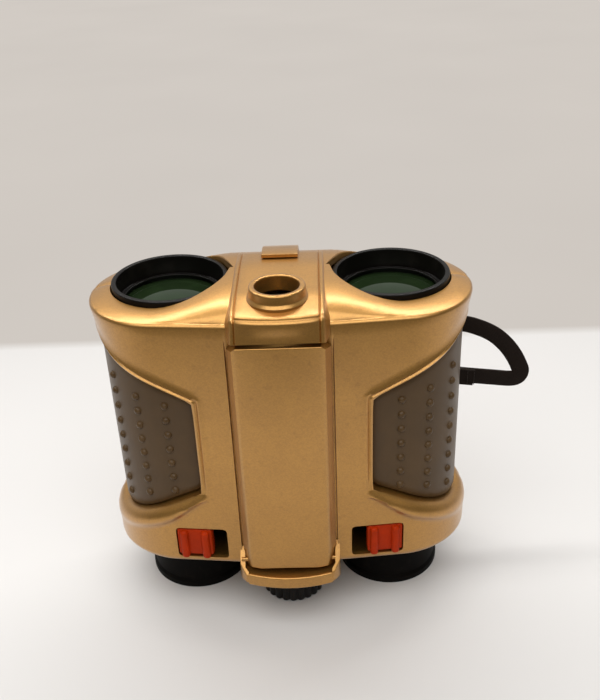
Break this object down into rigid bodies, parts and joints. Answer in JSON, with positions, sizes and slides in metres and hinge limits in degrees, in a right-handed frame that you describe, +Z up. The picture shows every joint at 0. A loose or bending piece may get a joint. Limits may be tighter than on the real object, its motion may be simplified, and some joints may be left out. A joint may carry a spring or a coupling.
{
  "type": "toy binoculars",
  "caption": "Gold toy binoculars with grey rubber grips, green lenses, orange slide switches, a centre focus knob, a pop-up light under the front panel and a neck strap.",
  "frame": {"origin": "middle of the part without its strap, at the table under the eyecups", "axes": "+Z up along the optical axes from the eyecups to the objectives, -Y out of the face with the switches and the panel, +X to the right as seen from that face"},
  "size_m": [0.144, 0.1246, 0.1173],
  "materials": {
    "gold_shell": "metallic gold paint, fine speckle, satin",
    "black_plastic": "moulded black, satin",
    "eyecup_black": "moulded black, soft satin",
    "grip_rubber": "dark grey, satin",
    "green_lens": "green coated, clear",
    "clear_lens": "clear",
    "orange_switch": "moulded orange-red, satin",
    "steel": "plain steel",
    "reflector": "bright",
    "contact_brass": "plain brass",
    "cell_sleeve": "plain printed sleeve without text",
    "webbing": "woven, dull"
  },
  "bodies": {
    "housing": {"front_shell": "gold_shell", "rear_shell": "gold_shell", "nose_cap": "gold_shell", "port_insert": "black_plastic", "left_grip": "grip_rubber", "right_grip": "grip_rubber", "left_objective_tube": "black_plastic", "right_objective_tube": "black_plastic", "left_objective_lens": "green_lens", "right_objective_lens": "green_lens", "left_lens_ring": "black_plastic", "right_lens_ring": "black_plastic", "light_hinge_pin": "steel", "light_spring": "steel", "switch_contacts": "contact_brass", "left_battery": "cell_sleeve", "right_battery": "cell_sleeve", "battery_contacts": "contact_brass", "shell_screws": "steel", "strap_run": "webbing", "strap_coil": "webbing", "strap_return": "webbing"},
    "eyepieces": {"eyepiece_bridge": "black_plastic", "left_eyepiece_barrel": "black_plastic", "left_eye_lens": "clear_lens", "left_eyecup": "eyecup_black", "right_eyepiece_barrel": "black_plastic", "right_eye_lens": "clear_lens", "right_eyecup": "eyecup_black"},
    "focus_drive": {"focus_knob": "black_plastic", "focus_screw": "steel"},
    "popup_light": {"light_cover": "gold_shell", "light_housing": "black_plastic", "light_reflector": "reflector", "light_bulb": "clear_lens", "light_window": "clear_lens"},
    "left_slider": {"left_switch": "orange_switch"},
    "right_slider": {"right_switch": "orange_switch"},
    "door": {"battery_door": "gold_shell"}
  },
  "joints": [
    {"name": "focus_turn", "type": "hinge", "parent": "housing", "child": "focus_drive", "pos_m": [0, -0.00889, 0.01], "axis": [0, 0, 1], "range_deg": [0, 360]},
    {"name": "eyepiece_slide", "type": "slide", "parent": "housing", "child": "eyepieces", "axis": [0, 0, -1], "range_m": [0, 0.005]},
    {"name": "light_lift", "type": "hinge", "parent": "housing", "child": "popup_light", "pos_m": [0, -0.02511, 0.025], "axis": [1, 0, 0], "range_deg": [0, 28]},
    {"name": "left_switch_slide", "type": "slide", "parent": "housing", "child": "left_slider", "axis": [0.9954, -0.0958, 0], "range_m": [0, 0.004]},
    {"name": "right_switch_slide", "type": "slide", "parent": "housing", "child": "right_slider", "axis": [-0.9954, -0.0958, 0], "range_m": [0, 0.004]},
    {"name": "door_swing", "type": "hinge", "parent": "housing", "child": "door", "pos_m": [0, 0.02731, 0.041], "axis": [-1, 0, 0], "range_deg": [0, 70]}
  ],
  "couplings": [
    {"joint": "focus_turn", "follows": "eyepiece_slide", "rad_per_m": 1256.6}
  ]
}
